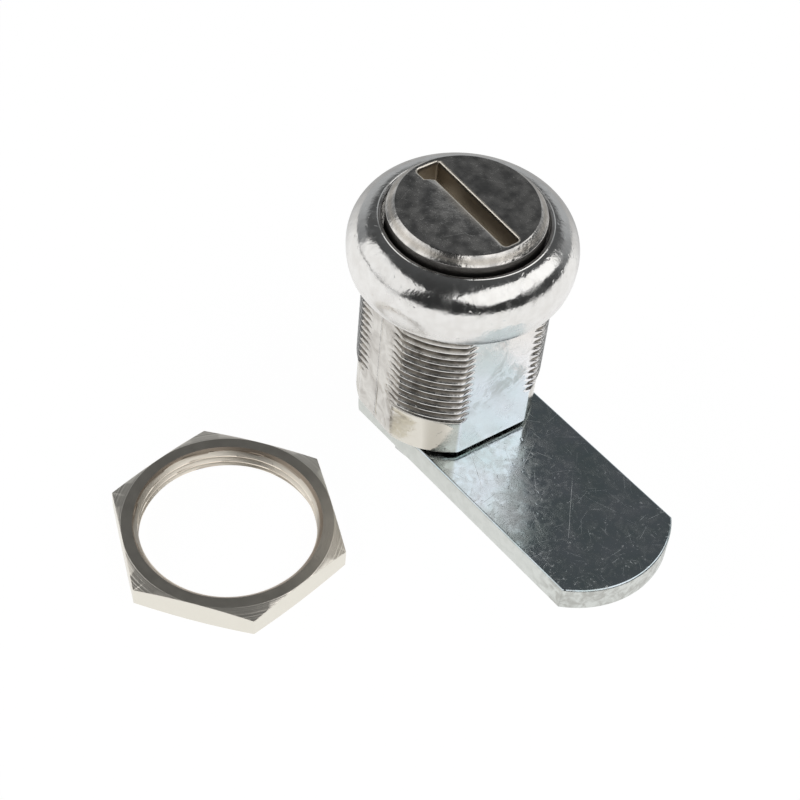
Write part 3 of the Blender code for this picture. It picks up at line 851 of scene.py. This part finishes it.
PLATED_SURFACE = plated_surface_group()
PLACE_ON_PIECE = place_group()
SCRATCHES = scratch_group()
print("groups:", [group.name for group in (PLATED_SURFACE, PLACE_ON_PIECE, SCRATCHES)])


def place_on_piece(tree, axis=(0.0, 0.0), turn=0.0):
    node = add_node(tree, "ShaderNodeGroup", {"Axis X": axis[0], "Axis Y": axis[1], "Turn": turn},
                    node_tree=PLACE_ON_PIECE)
    return node.outputs


def specks(tree, where, scale, low, high):
    """Small dots where noise peaks."""
    return map_range(tree, noise(tree, scale, 1.0, where), low, high)


def scratches(tree, cell, width, offset, share):
    """Scratches about a cell long; share is the part of the cells that have one."""
    node = add_node(tree, "ShaderNodeGroup", {"Cells": 1.0 / cell, "Width": width, "Offset": offset},
                    node_tree=SCRATCHES)
    chosen = math_node(tree, "LESS_THAN", node.outputs["Chance"], share)
    return times(tree, node.outputs["Mask"], chosen)


def all_of(tree, masks):
    """Where every one of several masks holds."""
    result = masks[0]
    for mask in masks[1:]:
        result = times(tree, result, mask)
    return result


def most_of(tree, masks):
    """The strongest of several masks."""
    result = masks[0]
    for mask in masks[1:]:
        result = larger(tree, result, mask)
    return result


# %% Start of every metal
def start_metal(name, waviness, peel, grain, pits):
    """A metal Principled BSDF with the shared surface wired to its normal."""
    mat = bpy.data.materials.new(name)
    tree = node_tree(mat)
    shader = add_node(tree, "ShaderNodeBsdfPrincipled", {"Metallic": 1.0})
    add_node(tree, "ShaderNodeOutputMaterial", {"Surface": shader.outputs[0]})
    surface = add_node(tree, "ShaderNodeGroup", {"Waviness": waviness, "Peel": peel, "Grain": grain,
                                                 "Pits": pits}, node_tree=PLATED_SURFACE)
    bump = add_node(tree, "ShaderNodeBump", {"Strength": 1.0, "Distance": BUMP_DEPTH,
                                             "Height": surface.outputs["Height"]})
    tree.links.new(bump.outputs["Normal"], shader.inputs["Normal"])
    return mat, tree, shader, surface, bump


def mix_colour(tree, factor, first, second):
    """Mix two colours by a mask; each is three numbers or a colour socket."""
    first, second = [(*each, 1.0) if isinstance(each, tuple) else each for each in (first, second)]
    return add_node(tree, "ShaderNodeMix", {0: factor, 6: first, 7: second}, data_type="RGBA").outputs[2]


def blend(tree, factor, first, second):
    """Mix two values by a mask; each is a number or a socket."""
    return add_node(tree, "ShaderNodeMix", {0: factor, 2: first, 3: second}, data_type="FLOAT").outputs[0]


def paint(piece, mat):
    piece.data.materials.clear()
    piece.data.materials.append(mat)


# %% [markdown]
# The casting and the plug are plated with bright nickel, a little warm. The collar is a mirror with slow
# casting waves, the flats are frosted and folded, and the thread's valleys are painted dark as painted shade.
# The wide flat is painted lighter and bluer low down as a painted reflection. The plug's face is duller and
# mottled, with specks and a few long handling marks, a painted sheen and a painted highlight by its slot,
# and painted shade on its upright walls and inside the slot.

# %% Bright nickel of the body
def body_nickel():
    mat, tree, shader, surface, bump = start_metal("bright nickel", 1.5, 1.2, 0.18, 0.5)
    place = place_on_piece(tree, turn=BODY_TURN)
    mottle = surface.outputs["Mottle"]
    wide, narrow = FLAT_ACROSS / 2, RELIEF_ACROSS / 2
    bright = mix_colour(tree, map_range(tree, mottle, 0.35, 0.65), (0.76, 0.745, 0.72), (0.83, 0.82, 0.80))
    off_wide = map_range(tree, place["Along"], wide - 0.05 * MM, wide - 0.2 * MM)
    off_narrow = map_range(tree, place["Across"], narrow - 0.05 * MM, narrow - 0.15 * MM)
    above_tail = map_range(tree, place["Height"], THREAD_BOTTOM, THREAD_BOTTOM + 0.5 * MM)
    below_seat = map_range(tree, place["Height"], SEAT_HEIGHT, SEAT_HEIGHT - 0.2 * MM)
    threaded = all_of(tree, [off_wide, off_narrow, above_tail, below_seat])
    deep = map_range(tree, place["Radius"], THREAD_RADIUS - 0.04 * MM, THREAD_RADIUS - 0.28 * MM)
    valley = times(tree, threaded, deep)
    # Painted shade: the thread's valleys get a dark colour, so that they read dark.
    valley_shade_colour = mix_colour(tree, map_range(tree, mottle, 0.40, 0.60), (0.17, 0.155, 0.135), (0.36, 0.33, 0.29))
    on_wide = times(tree, map_range(tree, place["Along"], wide - 0.2 * MM, wide - 0.05 * MM),
                    below_seat)
    where = add_node(tree, "ShaderNodeTexCoord").outputs["Object"]
    wrinkle = noise(tree, 420.0, 5.0, where, distortion=1.2)
    folds = map_range(tree, noise(tree, 130.0, 1.0, where), 0.46, 0.60)
    # Painted reflection: the wide flat's colour turns lighter and bluer towards its bottom.
    painted_reflection_low = map_range(tree, place["Height"], SEAT_HEIGHT - 4.0 * MM, SEAT_HEIGHT - 10.0 * MM)
    plain = mix_colour(tree, painted_reflection_low, (0.86, 0.83, 0.80), (0.97, 0.965, 0.985))
    darker = times(tree, map_range(tree, wrinkle, 0.55, 0.42), folds)
    cast = mix_colour(tree, times(tree, darker, 0.8), plain, (0.60, 0.58, 0.56))
    colour = mix_colour(tree, times(tree, on_wide, 0.9), bright, cast)
    on_narrow = times(tree, below_seat,
                      map_range(tree, place["Across"], narrow - 0.2 * MM, narrow - 0.05 * MM))
    dull = mix_colour(tree, map_range(tree, wrinkle, 0.35, 0.62), (0.68, 0.66, 0.62), (0.50, 0.475, 0.44))
    colour = mix_colour(tree, times(tree, on_narrow, 0.9), colour, dull)
    stretch = add_node(tree, "ShaderNodeMapping", {"Vector": where, "Scale": (270.0, 270.0, 20.0)})
    bands = map_range(tree, noise(tree, 1.0, 1.0, stretch.outputs["Vector"]), 0.40, 0.60)
    tail_metal = mix_colour(tree, bands, (0.42, 0.39, 0.33), (0.73, 0.70, 0.63))
    on_tail = all_of(tree, [off_wide, off_narrow,
                            map_range(tree, place["Height"], THREAD_BOTTOM + 0.5 * MM, THREAD_BOTTOM)])
    colour = mix_colour(tree, on_tail, colour, tail_metal)
    tree.links.new(mix_colour(tree, valley, colour, valley_shade_colour), shader.inputs["Base Color"])
    polished = plus(tree, map_range(tree, mottle, 0.3, 0.7, 0.11, 0.17),
                    map_range(tree, wrinkle, 0.50, 0.68, 0.0, 0.14))
    under = all_of(tree, [map_range(tree, place["Height"], SEAT_HEIGHT + COLLAR_BELLY,
                                    SEAT_HEIGHT + 0.4 * COLLAR_BELLY),
                          map_range(tree, place["Height"], SEAT_HEIGHT - 0.5 * MM, SEAT_HEIGHT)])
    frosted = larger(tree, under, times(tree, on_wide, 0.6))
    cast_rough = blend(tree, frosted, polished, map_range(tree, mottle, 0.3, 0.7, 0.24, 0.34))
    lip = all_of(tree, [map_range(tree, place["Height"], COLLAR_TOP - 0.30 * MM, COLLAR_TOP - 0.22 * MM),
                        map_range(tree, place["Radius"],
                                  RECESS_RADIUS + 0.42 * MM, RECESS_RADIUS + 0.30 * MM),
                        map_range(tree, mottle, 0.35, 0.55)])
    cast_rough = blend(tree, lip, cast_rough, 0.45)
    tree.links.new(blend(tree, valley, cast_rough, 0.34), shader.inputs["Roughness"])
    mould_line = map_range(tree, place["Along"], 0.20 * MM, 0.05 * MM, 0.0, 4.0)
    seam = times(tree, on_narrow, mould_line)
    fold_height = times(tree, wrinkle, map_range(tree, folds, 0.0, 1.0, 0.7, 2.6))
    ripple = times(tree, fold_height, larger(tree, on_wide, on_narrow))
    bead_middle = RECESS_RADIUS + RIM_ROUND + 0.15 * MM
    off_bead = math_node(tree, "ABSOLUTE", minus(tree, place["Radius"], bead_middle))
    on_crown = map_range(tree, place["Height"], COLLAR_TOP - 0.4 * MM, COLLAR_TOP - 0.3 * MM)
    bead = times(tree, map_range(tree, off_bead, 0.13 * MM, 0.0, 0.0, 2.4), on_crown)
    height = plus(tree, surface.outputs["Height"], plus(tree, seam, ripple))
    height = plus(tree, height, bead)
    tree.links.new(height, bump.inputs["Height"])
    return mat


# %% Mottled nickel of the plug
SLOT_SIDE = (math.sin(SLOT_TURN) * SLOT_WIDTH / 2, SLOT_OFFSET - math.cos(SLOT_TURN) * SLOT_WIDTH / 2)


def plug_nickel():
    mat, tree, shader, surface, bump = start_metal("mottled nickel", 0.6, 0.55, 0.34, 0.2)
    place = place_on_piece(tree, axis=SLOT_SIDE, turn=SLOT_TURN)
    round_axis = place_on_piece(tree)
    where = add_node(tree, "ShaderNodeTexCoord").outputs["Object"]
    mottle = surface.outputs["Mottle"]
    marks = times(tree, scratches(tree, 5.0 * MM, 0.030 * MM, 0.041, 0.6), 0.8)
    marks = larger(tree, marks, specks(tree, where, 4200.0, 0.62, 0.74))
    colour = mix_colour(tree, map_range(tree, mottle, 0.36, 0.62), (0.45, 0.44, 0.425), (0.84, 0.81, 0.77))
    # Painted sheen: a warm lighter colour on the face beside the slot's near side.
    painted_sheen = all_of(tree, [map_range(tree, place["Across"], 1.2 * MM, 0.2 * MM),
                          map_range(tree, place["Along"], 5.0 * MM, 1.0 * MM),
                          map_range(tree, place["Height"], FACE_HEIGHT - 0.1 * MM, FACE_HEIGHT)])
    # Painted shade: the inside of the slot gets a darker brown colour.
    in_slot = times(tree, map_range(tree, place["Height"], FACE_HEIGHT - 0.15 * MM, FACE_HEIGHT - 0.7 * MM),
                    map_range(tree, round_axis["Radius"], HEAD_RADIUS - 0.1 * MM, HEAD_RADIUS - 0.5 * MM))
    # Painted shade: the upright walls, the slot's among them, get a dark colour.
    wall = map_range(tree, place["Level"], 0.35, 0.15)
    colour = mix_colour(tree, times(tree, painted_sheen, 0.7), colour, (0.92, 0.82, 0.70))
    # Painted highlight: a pale colour on the slot's lip, just below the face.
    painted_lip_highlight = all_of(tree, [map_range(tree, place["Height"], FACE_HEIGHT, FACE_HEIGHT - 0.01 * MM),
                           map_range(tree, place["Height"], FACE_HEIGHT - 0.25 * MM, FACE_HEIGHT - 0.15 * MM),
                           map_range(tree, round_axis["Radius"], HEAD_RADIUS - HEAD_CHAMFER - 0.2 * MM,
                                     HEAD_RADIUS - HEAD_CHAMFER - 0.4 * MM)])
    colour = mix_colour(tree, painted_lip_highlight, colour, (0.96, 0.90, 0.80))
    colour = mix_colour(tree, wall, colour, (0.22, 0.21, 0.20))
    tree.links.new(mix_colour(tree, in_slot, colour, (0.52, 0.47, 0.40)), shader.inputs["Base Color"])
    face_edge = HEAD_RADIUS - HEAD_CHAMFER
    worn = map_range(tree, round_axis["Radius"], face_edge, face_edge + 0.1 * MM)
    rough = blend(tree, worn, map_range(tree, mottle, 0.3, 0.7, 0.11, 0.22), 0.17)
    rough_at_sheen_and_lip = times(tree, larger(tree, painted_sheen, painted_lip_highlight), 0.16)
    rough = plus(tree, rough, rough_at_sheen_and_lip)
    rough = plus(tree, rough, times(tree, marks, 0.15))
    rough = blend(tree, larger(tree, in_slot, wall), rough, 0.38)
    tree.links.new(rough, shader.inputs["Roughness"])
    hammered = times(tree, noise(tree, 2600.0, 1.0, where), worn)
    height = plus(tree, surface.outputs["Height"], hammered)
    sunk = times(tree, marks, 0.15)
    tree.links.new(minus(tree, height, sunk), bump.inputs["Height"])
    return mat


paint(lock_body, body_nickel())
paint(turning_plug, plug_nickel())

# %% [markdown]
# The cam is zinc plated: bluish, very bright, and marked by handling. Each layer of scratches has its own
# length, and a cell of the net turns each one its own way. Small pale specks gather towards the tip, and
# the sheared side walls are a duller greenish grey with upright lines.

# %% Zinc plate of the cam
def cam_zinc():
    mat, tree, shader, surface, bump = start_metal("bright zinc", 0.5, 0.10, 0.12, 0.3)
    where = add_node(tree, "ShaderNodeTexCoord").outputs["Object"]
    place = place_on_piece(tree)
    long_marks = scratches(tree, 11.0 * MM, 0.045 * MM, 0.017, 0.55)
    marks = most_of(tree, [long_marks,
                           scratches(tree, 6.0 * MM, 0.030 * MM, 0.053, 0.4),
                           scratches(tree, 3.2 * MM, 0.026 * MM, 0.031, 0.6),
                           scratches(tree, 1.7 * MM, 0.026 * MM, 0.071, 0.35)])
    near_tip = map_range(tree, place["Radius"], 12.0 * MM, 33.0 * MM, 0.3, 1.0)
    gathered = map_range(tree, noise(tree, 420.0, 1.0, where), 0.40, 0.58, 0.35, 1.0)
    dust = all_of(tree, [specks(tree, where, 3100.0, 0.62, 0.76), near_tip, gathered])
    marks = larger(tree, times(tree, marks, 0.7), dust)
    marks = larger(tree, marks, times(tree, long_marks, 0.9))
    cloud = map_range(tree, noise(tree, 240.0, 5.0, where), 0.35, 0.65)
    patches = map_range(tree, noise(tree, 900.0, 4.0, where, distortion=0.8), 0.40, 0.62)
    plate = mix_colour(tree, cloud, (0.57, 0.68, 0.70), (0.71, 0.78, 0.84))
    plate = mix_colour(tree, times(tree, patches, 0.25), plate, (0.56, 0.54, 0.50))
    plate = mix_colour(tree, times(tree, marks, 0.6), plate, (0.93, 0.94, 0.93))
    wall = map_range(tree, place["Level"], 0.75, 0.35)
    side = mix_colour(tree, patches, (0.69, 0.71, 0.68), (0.64, 0.66, 0.63))
    by_tip = map_range(tree, place["Radius"], 27.0 * MM, 31.0 * MM, 0.0, 0.5)
    dirt = times(tree, by_tip, patches)
    side = mix_colour(tree, dirt, side, (0.34, 0.33, 0.30))
    tree.links.new(mix_colour(tree, wall, plate, side), shader.inputs["Base Color"])
    smooth = map_range(tree, patches, 0.0, 1.0, 0.12, 0.27)
    rough = plus(tree, smooth, times(tree, marks, 0.32))
    tree.links.new(blend(tree, wall, rough, 0.38), shader.inputs["Roughness"])
    stretch = add_node(tree, "ShaderNodeMapping", {"Vector": where, "Scale": (2600.0, 2600.0, 160.0)})
    sheared = times(tree, noise(tree, 1.0, 2.0, stretch.outputs["Vector"]),
                    times(tree, wall, 0.8))
    height = minus(tree, surface.outputs["Height"], times(tree, marks, 0.15))
    tree.links.new(plus(tree, height, sheared), bump.inputs["Height"])
    return mat


paint(cam_plate, cam_zinc())

# %% [markdown]
# The nut was turned, so its faces carry fine rings about its own axis, which make the face look satin. Its
# corners are rougher where the chamfer cut them and are painted lighter as painted light, and the bore is
# warmer than the faces, with painted shade in its thread grooves.

# %% Turned nickel of the nut
def nut_nickel():
    mat, tree, shader, surface, bump = start_metal("turned nickel", 0.4, 0.05, 0.10, 0.2)
    place = place_on_piece(tree, axis=(NUT_CENTRE[0], NUT_CENTRE[1]))
    ring = add_node(tree, "ShaderNodeTexNoise", {"W": times(tree, place["Radius"], 9000.0),
                                                 "Scale": 1.0, "Detail": 2.0}, noise_dimensions="1D")
    level = map_range(tree, place["Level"], 0.6, 0.9)
    corner = times(tree, level,
                   map_range(tree, place["Radius"], NUT_FACE_RADIUS, NUT_FACE_RADIUS + 0.1 * MM))
    coarse = add_node(tree, "ShaderNodeTexNoise", {"W": times(tree, place["Radius"], 3600.0),
                                                   "Scale": 1.0, "Detail": 1.0}, noise_dimensions="1D")
    turned_marks = blend(tree, corner, times(tree, ring.outputs["Fac"], 0.25),
                         times(tree, coarse.outputs["Fac"], 1.4))
    rings = times(tree, turned_marks, level)
    tree.links.new(plus(tree, surface.outputs["Height"], rings), bump.inputs["Height"])
    cloud = map_range(tree, surface.outputs["Mottle"], 0.35, 0.65)
    face = mix_colour(tree, cloud, (0.78, 0.73, 0.64), (0.81, 0.76, 0.67))
    # Painted light: the chamfered corners get a lighter colour.
    face = mix_colour(tree, corner, face, (0.92, 0.87, 0.78))
    in_bore = times(tree, map_range(tree, place["Radius"],
                                    NUT_FACE_RADIUS - 0.6 * MM, NUT_FACE_RADIUS - 0.8 * MM),
                    map_range(tree, place["Level"], 0.85, 0.75))
    # Painted shade: a dark colour in the bore's thread grooves.
    groove = map_range(tree, place["Radius"], NUT_BORE_RADIUS + 0.10 * MM, NUT_BORE_RADIUS + 0.35 * MM)
    bore = mix_colour(tree, groove, (0.88, 0.80, 0.69), (0.36, 0.30, 0.24))
    upright = map_range(tree, place["Level"], 0.5, 0.2)
    face = mix_colour(tree, upright, face, (0.82, 0.79, 0.71))
    tree.links.new(mix_colour(tree, in_bore, face, bore), shader.inputs["Base Color"])
    rough = blend(tree, corner, map_range(tree, cloud, 0.0, 1.0, 0.32, 0.36), 0.34)
    mouth = map_range(tree, place["Level"], 0.45, 0.6, 0.22, 0.45)
    tree.links.new(blend(tree, in_bore, rough, mouth), shader.inputs["Roughness"])
    return mat


paint(hex_nut, nut_nickel())

# %% [markdown]
# The bolt, its spring washer and the stop washer are plain zinc-plated steel, mostly hidden under the cam.
# Their solids have the right shape, so they stay as they are, with a duller plating. The seal sits in the
# plug's groove and is black rubber.

# %% Small steel pieces and the seal
def dull_zinc():
    mat, tree, shader, surface, bump = start_metal("dull zinc", 0.8, 0.2, 0.2, 0.4)
    colour = mix_colour(tree, map_range(tree, surface.outputs["Mottle"], 0.35, 0.65),
                        (0.56, 0.57, 0.56), (0.68, 0.69, 0.67))
    tree.links.new(colour, shader.inputs["Base Color"])
    rough = map_range(tree, surface.outputs["Mottle"], 0.3, 0.7, 0.25, 0.40)
    tree.links.new(rough, shader.inputs["Roughness"])
    return mat


def seal_rubber():
    mat, tree, shader, surface, bump = start_metal("black rubber", 0.5, 0.4, 0.3, 0.0)
    shader.inputs["Metallic"].default_value = 0.0
    colour = mix_colour(tree, surface.outputs["Mottle"], (0.012, 0.012, 0.012), (0.030, 0.030, 0.028))
    tree.links.new(colour, shader.inputs["Base Color"])
    rough = map_range(tree, surface.outputs["Mottle"], 0.3, 0.7, 0.5, 0.7)
    tree.links.new(rough, shader.inputs["Roughness"])
    return mat


def refinish(node, mat):
    """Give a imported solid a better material, in its object's own slots."""
    for slot in frame["nodes"][node].material_slots:
        slot.material = mat


STEEL = dull_zinc()
for node in ("fixing_bolt", "spring_washer", "stop_washer"):
    refinish(node, STEEL)
refinish("plug_seal", seal_rubber())
print("small pieces finished")
